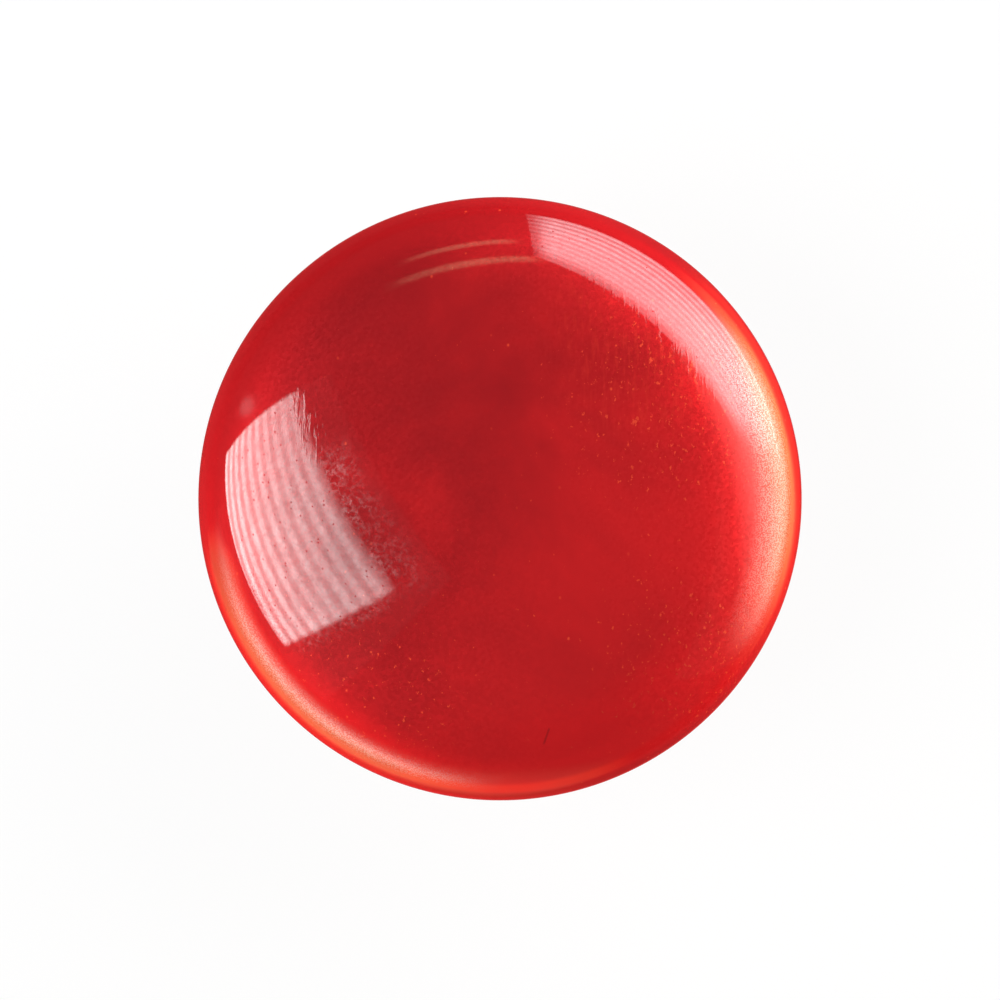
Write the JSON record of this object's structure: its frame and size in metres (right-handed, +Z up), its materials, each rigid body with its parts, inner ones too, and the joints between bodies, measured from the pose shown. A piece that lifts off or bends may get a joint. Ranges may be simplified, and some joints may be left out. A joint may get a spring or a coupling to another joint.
{
  "type": "domed shank button",
  "caption": "Round domed garment button in glossy pearl resin, with a shank moulded on its back and a thread eye drilled across the shank.",
  "frame": {"origin": "centre of the shank's flat end, which is the lowest plane of the button", "axes": "+Z up through the middle of the dome, +Y along the thread eye"},
  "size_m": [0.015, 0.015, 0.0074],
  "materials": {
    "pearl_resin": "polished translucent red polyester with a fine pearl"
  },
  "bodies": {
    "root": {"button": "pearl_resin"}
  },
  "joints": []
}
